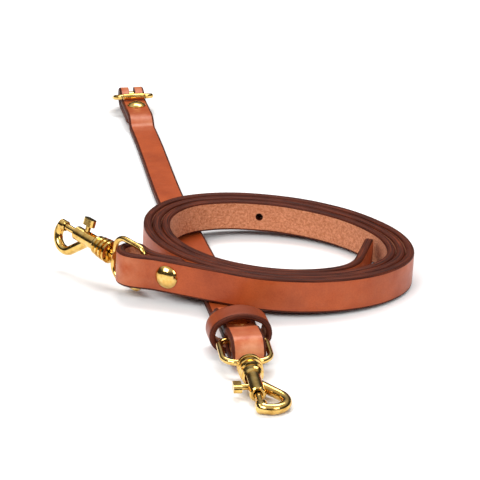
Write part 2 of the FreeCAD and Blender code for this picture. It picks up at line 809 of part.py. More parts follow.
def on_short_strap(along, height):
    return short_strap_placement().multiply(Placement(Vector(along, 0, height), Rotation()))


def snap_placement(prefix, roll):
    """Origin in the eye's front bar, X along the hook's axis; roll turns the piece about it."""
    where = Vector(size(f"{prefix}_snap_x"), size(f"{prefix}_snap_y"), size(f"{prefix}_snap_height"))
    turn = Rotation(size(f"{prefix}_snap_heading"), -size(f"{prefix}_snap_rise"), roll)
    return origin_shift().multiply(Placement(where, turn))


def snap_places():
    """The left eye stands on edge round the coiled strap; the front one lies flat in its fold."""
    along_axis = Rotation(Vector(0, 0, 1), Vector(1, 0, 0))
    spring_step = Placement(Vector(size("spring_start") + 2 * size("spring_wire"), 0, 0), along_axis)
    places = {}
    for prefix in ("left", "front"):
        hook_roll = size(f"{prefix}_hook_roll")
        places[f"{prefix}_eye"] = snap_placement(prefix, size(f"{prefix}_eye_roll"))
        for piece in ("hook", "bolt", "thumb_lever"):
            places[f"{prefix}_{piece}"] = snap_placement(prefix, hook_roll)
        places[f"{prefix}_spring"] = snap_placement(prefix, hook_roll).multiply(spring_step)
    return places


def rivet_placements():
    top = size("strap_thickness") / 2
    doubled = size("strap_thickness") + size("layer_gap")
    front_x = size("short_length") - size("front_rivet_from_end")
    point, facing = long_strap_rivet()
    upright = Placement(point + facing * top, Rotation(Vector(0, 0, 1), facing))
    return {
        "long": coil_placement().multiply(upright),
        "buckle": on_short_strap(size("buckle_rivet_from_end"), size("buckle_return_height") + doubled + top),
        "front": on_short_strap(front_x, size("front_return_height") + doubled + top),
    }


def place_everything():
    heel_x = size("buckle_fold_radius") + size("strap_thickness") / 2
    heel = on_short_strap(heel_x, size("heel_height"))
    keeper = on_short_strap(size("short_length") - 22.75, 0).multiply(
        Placement(Vector(0, -size("keeper_aside"), 0), Rotation()))
    staple_step = Placement(Vector(size("staple_offset"), 0, 0), Rotation())
    places = {
        "long_strap": coil_placement(),
        "short_strap": short_strap_placement(),
        "keeper_loop": keeper,
        "keeper_staple": keeper.multiply(staple_step),
        "buckle_frame": heel.multiply(Placement(Vector(), Rotation(Vector(0, 1, 0), -size("frame_slope")))),
        "buckle_prong": heel.multiply(Placement(Vector(), Rotation(Vector(0, 1, 0), 180 - size("prong_slope")))),
    }
    for prefix, place in rivet_placements().items():
        places[f"{prefix}_rivet_cap"] = place
        places[f"{prefix}_rivet_post"] = place
    places.update(snap_places())
    for part in sub_parts:
        part.Placement = places[part.Label]


def check_everything():
    doc.recompute()
    for item in doc.Objects:
        if "Invalid" in item.State or "Error" in item.State:
            raise RuntimeError(f"{item.Name} is {item.State}")
    for part in sub_parts:
        if part.Shape.isNull() or not part.Shape.isValid() or not part.Shape.Solids:
            raise RuntimeError(f"{part.Label} has no valid solid")


def report(long_length, short_length):
    box = FreeCAD.BoundBox()
    for part in sub_parts:
        box.add(part.Shape.BoundBox)
        print(f"{part.Label:20s} solids {len(part.Shape.Solids)} volume {part.Shape.Volume:9.1f}")
    print(f"long strap {long_length:.0f} mm, short strap {short_length:.0f} mm")
    print(f"box x {box.XMin:.2f} {box.XMax:.2f}  y {box.YMin:.2f} {box.YMax:.2f}  z {box.ZMin:.2f} {box.ZMax:.2f}")


def main():
    long_length = make_long_strap()
    short_length = make_short_strap()
    make_keeper()
    make_keeper_staple()
    for prefix in ("long", "buckle", "front"):
        make_rivet(prefix)
    for prefix in ("left", "front"):
        make_eye(prefix)
        make_hook(prefix)
        make_bolt(prefix)
        make_thumb_lever(prefix)
        make_spring(prefix)
    make_buckle_frame()
    make_prong()
    doc.recompute()
    place_everything()
    check_everything()
    report(long_length, short_length)
    os.makedirs("parts", exist_ok=True)
    for part in sub_parts:
        part.Shape.exportStep(f"parts/{part.Label}.step")


main()
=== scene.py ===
"""Looks of the leather training leash: two straps, a keeper, brass fittings and a pale studio."""

import json
import math

import bpy
from mathutils import Matrix, Vector, noise

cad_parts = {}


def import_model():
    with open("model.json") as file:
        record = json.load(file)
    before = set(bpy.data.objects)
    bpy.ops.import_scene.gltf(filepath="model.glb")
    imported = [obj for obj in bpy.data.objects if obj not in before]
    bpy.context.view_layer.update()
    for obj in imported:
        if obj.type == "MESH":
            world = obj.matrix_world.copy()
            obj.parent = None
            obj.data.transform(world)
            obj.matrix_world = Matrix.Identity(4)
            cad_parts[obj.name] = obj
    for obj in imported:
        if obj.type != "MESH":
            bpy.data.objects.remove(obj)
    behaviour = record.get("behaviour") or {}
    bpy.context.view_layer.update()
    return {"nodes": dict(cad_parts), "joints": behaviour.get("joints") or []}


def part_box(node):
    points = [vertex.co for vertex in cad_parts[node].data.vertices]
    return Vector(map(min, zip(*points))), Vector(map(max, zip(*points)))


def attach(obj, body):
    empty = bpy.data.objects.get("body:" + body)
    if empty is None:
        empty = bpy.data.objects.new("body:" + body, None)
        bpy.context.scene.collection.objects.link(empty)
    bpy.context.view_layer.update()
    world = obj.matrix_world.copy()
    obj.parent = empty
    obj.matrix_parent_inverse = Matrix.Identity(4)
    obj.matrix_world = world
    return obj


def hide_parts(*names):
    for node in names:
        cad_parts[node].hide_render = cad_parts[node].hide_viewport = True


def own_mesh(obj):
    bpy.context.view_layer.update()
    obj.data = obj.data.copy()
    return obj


MM = 0.001

# Camera and room, in metres.
CAMERA_PLACE = Vector((0.003485, -0.891505, 0.3177))
CAMERA_TARGET = Vector((0.003485, -0.018505, 0.0))
CAMERA_LENS = 151.2
FLOOR_SIZE = 8.0

# Sizes of the straps, in millimetres, the same as in the part.
STRAP_THICKNESS = 3.6
LAYER_GAP = 0.1
LONG_WIDTH = 15.0
SHORT_WIDTH = 13.6
TIP_CORNER = 5.0
STEP = 1.6
TIP_STEP = 0.35
LARGEST_STEP_TURN = 6.0
TIGHTEST_BEND = 15.0  # degrees of turn per millimetre that count as a full bend
EDGE_ROUNDING = 1.1
FACE_ROWS = 6
CORNER_STEPS = 4

COIL_CENTRE = Vector((13.8, -39.9))
COIL_RADIUS = 57.2
COIL_OVAL = 5.7
COIL_OVAL_ANGLE = 148.0
COIL_LOBE = 1.0
COIL_PITCH = 4.1
COIL_TURNS = 3
COIL_START_ANGLE = -90.0
COIL_TILT = 2.78
COIL_PIVOT = 75.8
TWELFTH_TURN = 30.0
LEAD_IN = [(24.0, -22.0), (30.0, 0.0)]
LONG_FOLD = [(5.2, 0.0), (4.0, 15.0), (6.6, -7.2), (15.052, -114.1), (8.9, -120.0), (2.802, 10.0),
             (13.0, 36.3), (2.5, 0.0), (7.0, 0.0)]
FREE_TIP = [(21.9, 33.0), (16.9, 44.0), (28.3, 0.0)]
LAYER_DROP = 0.35
LAYER_LENGTH = 350.0
FIRST_LAYER_SHARE = 0.3
UNEVEN_EDGE = 0.12
UNEVEN_PER_MM = 0.05

HOLE_RADIUS = 1.7
HOLE_FROM_TIP = 53.0
HOLE_SPACING = 80.0
HOLE_COUNT = 3
HOLE_DEPTH = 4.8

SHORT_LENGTH = 377.0
SHORT_ORIGIN = Vector((-58.515, 203.495, 0.0))
SHORT_HEADING = -79.95
BUCKLE_RETURN = 41.5
BUCKLE_LOW = 2.8
BUCKLE_RADIUS = 3.75
FRONT_RETURN = 36.5
FRONT_LOW = 5.3
FRONT_FOLD_HEIGHT = 2.4
FRONT_RADIUS = 4.2
STEP_BEND = 8.0
GENTLE_BEND = 14.0
FRONT_RIVET_RUN = 19.5
FRONT_TOP_RUN = 13.0
SLOT_LENGTH = 13.0
SLOT_WIDTH = 3.2
BOW = 2.0
BOW_START = 60.0
BOW_END = 300.0

KEEPER_THICKNESS = 2.5
KEEPER_LENGTH = 11.5
KEEPER_BASE = 10.0
KEEPER_SIDE_RADIUS = 6.5

BRASS_NODES = ["long_rivet_cap", "long_rivet_post", "buckle_rivet_cap", "buckle_rivet_post",
               "front_rivet_cap", "front_rivet_post", "left_eye", "left_hook", "left_bolt",
               "left_thumb_lever", "front_eye", "front_hook", "front_bolt", "front_thumb_lever",
               "buckle_frame", "buckle_prong"]
STEEL_NODES = ["keeper_staple"]
BRASS_ROUNDING = 0.15
STEEL_ROUNDING = 0.03
ROUNDED_ANGLE = 40.0

# Soft lamps: name, place, width, length and power in watts.
LAMPS = [("key", (-0.7, -0.9, 0.9), 0.8, 0.6, 12.0),
         ("front", (0.7, -1.0, 0.7), 0.5, 0.5, 5.5),
         ("top_back", (0.1, 0.5, 1.2), 1.0, 0.5, 12.0)]


# ---------------------------------------------------------------- materials

def new_material(name, roughness=0.5, metallic=0.0):
    """A material with its shader and a set of object coordinates."""
    material = bpy.data.materials.new(name)
    material.use_nodes = True
    nodes = material.node_tree.nodes
    shader = nodes["Principled BSDF"]
    shader.inputs["Roughness"].default_value = roughness
    shader.inputs["Metallic"].default_value = metallic
    place = nodes.new("ShaderNodeTexCoord")
    return material, shader, place


def add_noise(material, coordinates, scale, detail=4.0, roughness=0.55):
    node = material.node_tree.nodes.new("ShaderNodeTexNoise")
    node.inputs["Scale"].default_value = scale
    node.inputs["Detail"].default_value = detail
    node.inputs["Roughness"].default_value = roughness
    material.node_tree.links.new(coordinates, node.inputs["Vector"])
    return node.outputs["Fac"]


def add_cells(material, coordinates, scale):
    """Distance from the rim of small cells, which reads as leather pores."""
    node = material.node_tree.nodes.new("ShaderNodeTexVoronoi")
    node.feature = "DISTANCE_TO_EDGE"
    node.inputs["Scale"].default_value = scale
    material.node_tree.links.new(coordinates, node.inputs["Vector"])
    return node.outputs["Distance"]


def add_stretch(material, coordinates, scale):
    """Coordinates with another scale on each axis."""
    node = material.node_tree.nodes.new("ShaderNodeMapping")
    node.inputs["Scale"].default_value = scale
    material.node_tree.links.new(coordinates, node.inputs["Vector"])
    return node.outputs["Vector"]


def add_ramp(material, value, stops):
    """A colour ramp from (position, colour) stops."""
    node = material.node_tree.nodes.new("ShaderNodeValToRGB")
    elements = node.color_ramp.elements
    while len(elements) < len(stops):
        elements.new(0.5)
    for element, (position, colour) in zip(elements, stops):
        element.position = position
        element.color = (*colour, 1.0)
    material.node_tree.links.new(value, node.inputs["Fac"])
    return node.outputs["Color"]


def add_range(material, value, low, high):
    """A value between 0 and 1 spread from low to high."""
    node = material.node_tree.nodes.new("ShaderNodeMapRange")
    node.inputs["To Min"].default_value = low
    node.inputs["To Max"].default_value = high
    material.node_tree.links.new(value, node.inputs["Value"])
    return node.outputs["Result"]


def mix_colours(material, amount, first, second, kind="MIX"):
    """Two colours mixed by an amount, which is a number or a socket."""
    node = material.node_tree.nodes.new("ShaderNodeMix")
    node.data_type = "RGBA"
    node.blend_type = kind
    links = material.node_tree.links
    if isinstance(amount, float):
        node.inputs["Factor"].default_value = amount
    else:
        links.new(amount, node.inputs["Factor"])
    links.new(first, node.inputs["A"])
    links.new(second, node.inputs["B"])
    return node.outputs["Result"]


def add_bump(material, height, depth, strength, under=None):
    """A normal that is raised by a height, on top of another bump if one is given."""
    node = material.node_tree.nodes.new("ShaderNodeBump")
    node.inputs["Strength"].default_value = strength
    node.inputs["Distance"].default_value = depth * MM
    links = material.node_tree.links
    links.new(height, node.inputs["Height"])
    if under is not None:
        links.new(under, node.inputs["Normal"])
    return node.outputs["Normal"]


def add_bend(material):
    """How sharply the strap bends at a point, from 0 to 1; it masks the painted highlight on the bends."""
    node = material.node_tree.nodes.new("ShaderNodeAttribute")
    node.attribute_name = "bend"
    return node.outputs["Fac"]


def leather_grain(name, dark, light, bend_highlight):
    """Smooth side: mottled colour, fine pores, creases across the bends, a waxed shine and a paler colour
    painted on the bends as a highlight.
    """
    material, shader, place = new_material(name)
    links = material.node_tree.links
    spot = place.outputs["Object"]
    mottle = add_ramp(material, add_noise(material, spot, 55.0, 6.0), [(0.32, dark), (0.68, light)])
    fleck = add_ramp(material, add_noise(material, spot, 1400.0, 3.0, 0.7),
                     [(0.35, (0.80, 0.76, 0.72)), (0.6, (1.0, 1.0, 1.0))])
    colour = mix_colours(material, 0.7, mottle, fleck, "MULTIPLY")
    # Painted highlight: a paler colour mixed in where the strap bends, standing in for the sheen that light
    # puts on the folds.
    pale = add_ramp(material, add_noise(material, spot, 180.0), [(0.3, light), (0.7, bend_highlight)])
    links.new(mix_colours(material, add_bend(material), colour, pale), shader.inputs["Base Color"])
    rough = add_range(material, add_noise(material, spot, 240.0), 0.30, 0.52)
    links.new(rough, shader.inputs["Roughness"])
    pores = add_bump(material, add_cells(material, spot, 1500.0), 0.05, 0.35)
    along = add_stretch(material, place.outputs["UV"], (900.0, 60.0, 1.0))
    creases = add_bump(material, add_noise(material, along, 1.0, 3.0), 0.10, 0.30, pores)
    links.new(add_bump(material, add_noise(material, spot, 260.0), 0.15, 0.4, creases),
              shader.inputs["Normal"])
    shader.inputs["Specular IOR Level"].default_value = 0.3
    return material


def leather_flesh(name, dark, light):
    """Rough side: pale, dull, with short fibres that run along the strap."""
    material, shader, place = new_material(name, roughness=0.88)
    links = material.node_tree.links
    fibres = add_stretch(material, place.outputs["UV"], (350.0, 1500.0, 1.0))
    fibre = add_noise(material, fibres, 1.0, 6.0, 0.7)
    crumbs = add_noise(material, place.outputs["Object"], 900.0, 5.0, 0.75)
    base = add_ramp(material, crumbs, [(0.36, dark), (0.62, light)])
    shade = add_ramp(material, fibre, [(0.3, (0.72, 0.66, 0.62)), (0.65, (1.0, 1.0, 1.0))])
    links.new(mix_colours(material, 0.8, base, shade, "MULTIPLY"), shader.inputs["Base Color"])
    rough = add_bump(material, crumbs, 0.5, 0.9)
    links.new(add_bump(material, fibre, 0.18, 0.6, rough), shader.inputs["Normal"])
    shader.inputs["Sheen Weight"].default_value = 0.1
    shader.inputs["Specular IOR Level"].default_value = 0.2
    return material


def leather_edge(name, dark, light):
    """Burnished edge: dark, glossy, with thin paler lines that run along the strap."""
    material, shader, place = new_material(name)
    links = material.node_tree.links
    lines = add_stretch(material, place.outputs["UV"], (45.0, 2600.0, 1.0))
    line = add_noise(material, lines, 1.0, 4.0, 0.6)
    base = add_ramp(material, line, [(0.45, dark), (0.62, light)])
    worn = add_ramp(material, add_noise(material, place.outputs["Object"], 90.0),
                    [(0.35, (0.75, 0.72, 0.70)), (0.65, (1.0, 1.0, 1.0))])
    links.new(mix_colours(material, 0.8, base, worn, "MULTIPLY"), shader.inputs["Base Color"])
    links.new(add_range(material, line, 0.42, 0.62), shader.inputs["Roughness"])
    links.new(add_bump(material, line, 0.10, 0.5), shader.inputs["Normal"])
    shader.inputs["Specular IOR Level"].default_value = 0.12
    return material


def brass():
    """Polished brass with faint tarnish, fine scratches and uneven shine."""
    material, shader, place = new_material("brass", metallic=1.0)
    links = material.node_tree.links
    spot = place.outputs["Object"]
    colour = add_ramp(material, add_noise(material, spot, 300.0, 6.0),
                      [(0.30, (0.50, 0.27, 0.06)), (0.48, (0.74, 0.47, 0.13)), (0.75, (0.86, 0.62, 0.24))])
    links.new(colour, shader.inputs["Base Color"])
    links.new(add_range(material, add_noise(material, spot, 500.0), 0.07, 0.20), shader.inputs["Roughness"])
    scratches = add_stretch(material, spot, (300.0, 2200.0, 900.0))
    fine = add_bump(material, add_noise(material, scratches, 1.0, 5.0, 0.7), 0.02, 0.25)
    links.new(add_bump(material, add_noise(material, spot, 220.0), 0.10, 0.25, fine),
              shader.inputs["Normal"])
    return material


def spring_steel():
    """Bright drawn steel wire with faint grey stains."""
    material, shader, place = new_material("spring_steel", metallic=1.0)
    links = material.node_tree.links
    spot = place.outputs["Object"]
    colour = add_ramp(material, add_noise(material, spot, 900.0),
                      [(0.3, (0.42, 0.41, 0.39)), (0.6, (0.72, 0.71, 0.69))])
    links.new(colour, shader.inputs["Base Color"])
    links.new(add_range(material, add_noise(material, spot, 1500.0), 0.18, 0.38),
              shader.inputs["Roughness"])
    return material


def floor_paper():
    """Near-white paper with a barely visible tooth."""
    material, shader, place = new_material("floor_paper", roughness=0.75)
    links = material.node_tree.links
    colour = add_ramp(material, add_noise(material, place.outputs["Object"], 30.0),
                      [(0.3, (0.90, 0.90, 0.895)), (0.7, (0.92, 0.92, 0.918))])
    links.new(colour, shader.inputs["Base Color"])
    return material


# ---------------------------------------------------------------- paths

def direction_of(angle):
    return Vector((math.cos(math.radians(angle)), math.sin(math.radians(angle))))


def move_on(point, angle, length, turn):
    """The point and direction after one straight or round move."""
    if turn == 0:
        return point + direction_of(angle) * length, angle
    radius = length / math.radians(turn)
    centre = point + direction_of(angle + 90) * radius
    return centre + direction_of(angle + turn - 90) * radius, angle + turn


def end_of(point, angle, moves):
    """The point and direction at the end of a path of moves."""
    for length, turn in moves:
        point, angle = move_on(point, angle, length, turn)
    return point, angle


def reversed_moves(moves):
    return [(length, -turn) for length, turn in reversed(moves)]


def short_steps(length, turn, distance, total):
    """Distances of the stations within a move, closer together near the strap's two ends."""
    count = max(math.ceil(length / STEP), math.ceil(abs(turn) / LARGEST_STEP_TURN), 1)
    near_end = min(distance, total - distance - length) < TIP_CORNER + 1.0
    if near_end:
        count = max(count, math.ceil(length / TIP_STEP))
    return [length * (index + 1) / count for index in range(count)]


def stations(point, angle, moves):
    """(point, direction, distance, bend) all along a path. Bend is 1 on the tightest folds."""
    total = sum(length for length, turn in moves)
    distance = 0.0
    found = [(point, angle, 0.0, 0.0)]
    for length, turn in moves:
        bend = min(abs(turn) / length / TIGHTEST_BEND, 1.0)
        for step in short_steps(length, turn, distance, total):
            place, heading = move_on(point, angle, step, turn * step / length)
            found.append((place, heading, distance + step, bend))
        point, angle = move_on(point, angle, length, turn)
        distance += length
    return found


def smooth_bends(path, reach=4):
    """The bend of each station averaged with its neighbours."""
    smoothed = []
    for index, (point, angle, distance, bend) in enumerate(path):
        near = path[max(0, index - reach):index + reach + 1]
        smoothed.append((point, angle, distance, sum(item[3] for item in near) / len(near)))
    return smoothed


def sidestep(shift, radius):
    """Two opposite bends that shift a strip to its right, or to its left where shift is negative."""
    angle = math.degrees(math.acos(1 - abs(shift) / (2 * radius)))
    bend = math.radians(angle) * radius
    turn = math.copysign(angle, shift)
    return [(bend, -turn), (bend, turn)]


def step_reach(shift, radius):
    return 2 * radius * math.sin(math.acos(1 - abs(shift) / (2 * radius)))


def coil_start():
    """Point on the coil's middle line where its first full turn begins."""
    angle = math.radians(COIL_START_ANGLE)
    oval = math.radians(COIL_OVAL_ANGLE)
    reach = COIL_RADIUS + COIL_OVAL * math.cos(2 * (angle - oval)) + COIL_LOBE * math.cos(3 * angle)
    slide = -COIL_PITCH / (2 * math.pi) - 2 * COIL_OVAL * math.sin(2 * (angle - oval))
    slide -= 3 * COIL_LOBE * math.sin(3 * angle)
    return COIL_CENTRE + direction_of(COIL_START_ANGLE) * reach + direction_of(COIL_START_ANGLE + 90) * slide


def coil_moves():
    """Arcs of a twelfth of a turn, each a little tighter than the one a turn before it."""
    moves = []
    for count in range(COIL_TURNS * 12):
        along = (count + 0.5) * TWELFTH_TURN
        angle = math.radians(COIL_START_ANGLE + along)
        radius = COIL_RADIUS - COIL_PITCH * along / 360
        radius -= 3 * COIL_OVAL * math.cos(2 * (angle - math.radians(COIL_OVAL_ANGLE)))
        radius -= 8 * COIL_LOBE * math.cos(3 * angle)
        moves.append((radius * math.radians(TWELFTH_TURN), TWELFTH_TURN))
    return moves


def long_path():
    """The long strap's middle line, from its folded-back end to its free tip."""
    outwards = LEAD_IN + LONG_FOLD
    start, angle = end_of(coil_start(), COIL_START_ANGLE - 90, outwards)
    return smooth_bends(stations(start, angle - 180, reversed_moves(outwards) + coil_moves() + FREE_TIP))


def short_path():
    """The short strap's side view, from the buckle's overlap to the front snap's overlap."""
    half = STRAP_THICKNESS / 2
    doubled = STRAP_THICKNESS + LAYER_GAP
    buckle_drop = 2 * BUCKLE_RADIUS - doubled
    buckle_centre = BUCKLE_RADIUS + half
    settle = BUCKLE_LOW + doubled - half
    settle_start = BUCKLE_RETURN + 3.0
    front_centre = FRONT_RADIUS + half
    front_drop = FRONT_FOLD_HEIGHT + 2 * FRONT_RADIUS - FRONT_LOW - doubled
    rise = FRONT_LOW + doubled - half
    return_drop = FRONT_LOW - FRONT_FOLD_HEIGHT
    level_start = buckle_centre + 1.0 + step_reach(buckle_drop, STEP_BEND)
    flat_start = settle_start + step_reach(settle, STEP_BEND)
    rise_end = SHORT_LENGTH - FRONT_RETURN - 1.0
    flat_end = rise_end - step_reach(rise, GENTLE_BEND)
    front_start = SHORT_LENGTH - FRONT_TOP_RUN - step_reach(front_drop, STEP_BEND)
    moves = [(BUCKLE_RETURN - buckle_centre, 0.0), (math.pi * BUCKLE_RADIUS, -180.0), (1.0, 0.0)]
    moves += sidestep(buckle_drop, STEP_BEND) + [(settle_start - level_start, 0.0)]
    moves += sidestep(settle, STEP_BEND) + [(flat_end - flat_start, 0.0)]
    moves += sidestep(-rise, GENTLE_BEND) + [(front_start - rise_end, 0.0)]
    moves += sidestep(-front_drop, STEP_BEND)
    moves += [(FRONT_TOP_RUN - front_centre, 0.0), (math.pi * FRONT_RADIUS, -180.0)]
    moves += [(FRONT_RIVET_RUN - step_reach(return_drop, STEP_BEND) - front_centre, 0.0)]
    moves += sidestep(return_drop, STEP_BEND) + [(FRONT_RETURN - FRONT_RIVET_RUN, 0.0)]
    return smooth_bends(stations(Vector((BUCKLE_RETURN, BUCKLE_LOW)), 180.0, moves))


def keeper_path():
    """The keeper's round: a flat base, two tight sides and a slack top."""
    side_length = math.radians(150.0) * KEEPER_SIDE_RADIUS
    top_length = math.radians(60.0) * (KEEPER_SIDE_RADIUS + KEEPER_BASE)
    moves = [(KEEPER_BASE, 0.0), (side_length, 150.0), (top_length, 60.0), (side_length, 150.0)]
    return stations(Vector((-KEEPER_BASE / 2, KEEPER_THICKNESS / 2)), 0.0, moves)[:-1]


# ---------------------------------------------------------------- strap meshes

def strap_section(width, thickness):
    """(across, up, material index) round a strap: 0 on its left face, 1 on its right, 2 on its edges."""
    flat = width - 2 * EDGE_ROUNDING
    side = thickness / 2
    rows = [EDGE_ROUNDING + flat * row / FACE_ROWS for row in range(FACE_ROWS + 1)]
    points = [(side, up, 0) for up in rows[:-1]]
    points += section_corner(side - EDGE_ROUNDING, width - EDGE_ROUNDING, 0.0, CORNER_STEPS + 1)
    points += section_corner(EDGE_ROUNDING - side, width - EDGE_ROUNDING, 90.0, CORNER_STEPS)
    points += [(-side, up, 1) for up in reversed(rows[1:])]
    points += section_corner(EDGE_ROUNDING - side, EDGE_ROUNDING, 180.0, CORNER_STEPS + 1)
    points += section_corner(side - EDGE_ROUNDING, EDGE_ROUNDING, 270.0, CORNER_STEPS)
    return points


def section_corner(across, up, first_angle, count):
    """The first count points of a rounded corner of the section, about its centre."""
    corner = []
    for step in range(count):
        out = direction_of(first_angle + 90.0 * step / CORNER_STEPS) * EDGE_ROUNDING
        corner.append((across + out.x, up + out.y, 2))
    return corner


def tip_inset(distance, radius):
    """How far a rounded corner of that radius cuts in, at a distance from the end."""
    if distance >= radius:
        return 0.0
    return radius - math.sqrt(radius ** 2 - (radius - distance) ** 2)


def build_mesh(name, rings, kinds, lengths, bends, closed):
    """A mesh of rings of points, with lengths and widths as its UV map and bends as an attribute."""
    size = len(kinds)
    count = len(rings)
    pairs = [(index, (index + 1) % count) for index in range(count if closed else count - 1)]
    faces = []
    corners = []
    materials = []
    for first, second in pairs:
        for side in range(size):
            after = (side + 1) % size
            faces.append((first * size + side, second * size + side,
                          second * size + after, first * size + after))
            reach = lengths[second] if second > first else lengths[first] + STEP
            corners.append([(lengths[first], side), (reach, side), (reach, side + 1),
                            (lengths[first], side + 1)])
            materials.append(kinds[side])
    if not closed:
        faces.append(tuple(range(size)))
        faces.append(tuple(reversed(range((count - 1) * size, count * size))))
        corners.append([(0.0, side) for side in range(size)])
        corners.append([(lengths[-1], side) for side in range(size)])
        materials += [2, 2]
    mesh = bpy.data.meshes.new(name)
    mesh.from_pydata([point * MM for ring in rings for point in ring], [], faces)
    uv_map = mesh.uv_layers.new(name="strap")
    flat_corners = [corner for face in corners for corner in face]
    for item, (along, side) in zip(uv_map.data, flat_corners):
        item.uv = (along * MM, side * 1.6 * MM)
    attribute = mesh.attributes.new("bend", "FLOAT", "POINT")
    for ring in range(count):
        for side in range(size):
            attribute.data[ring * size + side].value = bends[ring]
    for polygon, kind in zip(mesh.polygons, materials):
        polygon.material_index = kind
        polygon.use_smooth = True
    return mesh


def sweep(name, path, width, thickness, place, materials, closed=False):
    """A strap along a path. place turns a distance, a point in the path's plane and a height into a point."""
    section = strap_section(width, thickness)
    total = path[-1][2]
    rings = []
    for point, angle, distance, bend in path:
        from_end = total if closed else min(distance, total - distance)
        inset = tip_inset(from_end, TIP_CORNER)
        thin = 1.0 - tip_inset(from_end, EDGE_ROUNDING) / (thickness / 2)
        squeeze = 1.0 - 2.0 * inset / width
        left = direction_of(angle + 90)
        rings.append([place(distance, point + left * (across * thin), inset + up * squeeze)
                      for across, up, kind in section])
    lengths = [item[2] for item in path]
    bends = [item[3] for item in path]
    mesh = build_mesh(name, rings, [kind for across, up, kind in section], lengths, bends, closed)
    strap = bpy.data.objects.new(name, mesh)
    for material in materials:
        mesh.materials.append(material)
    bpy.context.collection.objects.link(strap)
    return strap


def place_on_coil(distance, point, up):
    """A point of the standing coil. Its inner layers sink a little, and its edge is not quite even."""
    layers_in = min(max(distance / LAYER_LENGTH - FIRST_LAYER_SHARE, 0.0), 3.0)
    drop = LAYER_DROP * layers_in * (up / LONG_WIDTH)
    wave = noise.noise(Vector((distance * UNEVEN_PER_MM, 3.0, 0.0)))
    uneven = UNEVEN_EDGE * wave * (up / LONG_WIDTH)
    tilt = Matrix.Rotation(math.radians(COIL_TILT), 3, "Y")
    turned = tilt @ Vector((point.x - COIL_PIVOT, point.y, up - drop + uneven))
    return turned + Vector((COIL_PIVOT, 0.0, 0.0))


def place_on_short(distance, point, up):
    """A point of the lying strap, which bows sideways by a little in its middle."""
    share = min(max((point.x - BOW_START) / (BOW_END - BOW_START), 0.0), 1.0)
    sideways = up - SHORT_WIDTH / 2 - BOW * math.sin(math.pi * share) ** 2
    turn = Matrix.Rotation(math.radians(SHORT_HEADING), 3, "Z")
    return SHORT_ORIGIN + turn @ Vector((point.x, sideways, point.y))


def place_on_keeper(distance, point, up):
    """A point of the keeper, which stands across the short strap."""
    turn = Matrix.Rotation(math.radians(SHORT_HEADING), 3, "Z")
    return turn @ Vector((up, point.x, point.y))


def settle_on(piece, node):
    """Slides a mesh until its box has the middle and underside of the CAD node's box, and gives the slide."""
    low, high = (Vector(corner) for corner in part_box(node))
    points = [vertex.co for vertex in piece.data.vertices]
    mine_low = Vector([min(point[axis] for point in points) for axis in range(3)])
    mine_high = Vector([max(point[axis] for point in points) for axis in range(3)])
    shift = (low + high - mine_low - mine_high) / 2
    shift.z = low.z - mine_low.z
    piece.data.transform(Matrix.Translation(shift))
    return shift


def cut(piece, cutter):
    """Takes the cutter's shape out of a mesh for good."""
    modifier = piece.modifiers.new("cut", "BOOLEAN")
    modifier.operation = "DIFFERENCE"
    modifier.solver = "EXACT"
    modifier.object = cutter
    graph = bpy.context.evaluated_depsgraph_get()
    mesh = bpy.data.meshes.new_from_object(piece.evaluated_get(graph))
    piece.modifiers.clear()
    piece.data = mesh
    bpy.data.objects.remove(cutter, do_unlink=True)


def drill(piece, middle, direction, depth, radius):
    """A round hole through a strap."""
    bpy.ops.mesh.primitive_cylinder_add(vertices=40, radius=radius * MM, depth=depth * MM)
    cutter = bpy.context.object
    cutter.data.materials.append(piece.data.materials[2])
    turn = Vector((0, 0, 1)).rotation_difference(direction).to_matrix().to_4x4()
    cutter.data.transform(Matrix.Translation(middle) @ turn)
    cut(piece, cutter)


def make_long_strap(grain, flesh, edge):
    """The coiled strap, with its adjusting holes drilled from the free tip."""
    path = long_path()
    strap = sweep("long_strap_leather", path, LONG_WIDTH, STRAP_THICKNESS, place_on_coil,
                  [flesh, grain, edge])
    shift = settle_on(strap, "long_strap")
    total = path[-1][2]
    for count in range(HOLE_COUNT):
        wanted = total - HOLE_FROM_TIP - count * HOLE_SPACING
        point, angle, distance, bend = min(path, key=lambda item: abs(item[2] - wanted))
        middle = place_on_coil(distance, point, LONG_WIDTH / 2)
        outwards = place_on_coil(distance, point + direction_of(angle + 90), LONG_WIDTH / 2) - middle
        drill(strap, middle * MM + shift, outwards, HOLE_DEPTH, HOLE_RADIUS)
    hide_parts("long_strap")
    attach(strap, "long_leash")
    return strap


def make_short_strap(grain, flesh, edge):
    """The lying strap, with the prong's slot cut through its buckle fold."""
    strap = sweep("short_strap_leather", short_path(), SHORT_WIDTH, STRAP_THICKNESS, place_on_short,
                  [grain, flesh, edge])
    shift = settle_on(strap, "short_strap")
    bpy.ops.mesh.primitive_cube_add(size=1.0)
    cutter = bpy.context.object
    cutter.data.materials.append(edge)
    cutter.data.transform(Matrix.Diagonal(((SLOT_LENGTH + 1) * MM, SLOT_WIDTH * MM, 40 * MM, 1.0)))
    turn = Matrix.Rotation(math.radians(SHORT_HEADING), 4, "Z")
    middle = SHORT_ORIGIN + turn.to_3x3() @ Vector(((SLOT_LENGTH - 1) / 2, 0.0, 0.0))
    cutter.data.transform(Matrix.Translation(middle * MM + shift) @ turn)
    cut(strap, cutter)
    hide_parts("short_strap")
    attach(strap, "short_leash")
    return strap


def make_keeper(grain, flesh, edge):
    loop = sweep("keeper_leather", keeper_path(), KEEPER_LENGTH, KEEPER_THICKNESS, place_on_keeper,
                 [flesh, grain, edge], closed=True)
    settle_on(loop, "keeper_loop")
    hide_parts("keeper_loop")
    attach(loop, "keeper")


# ---------------------------------------------------------------- metal

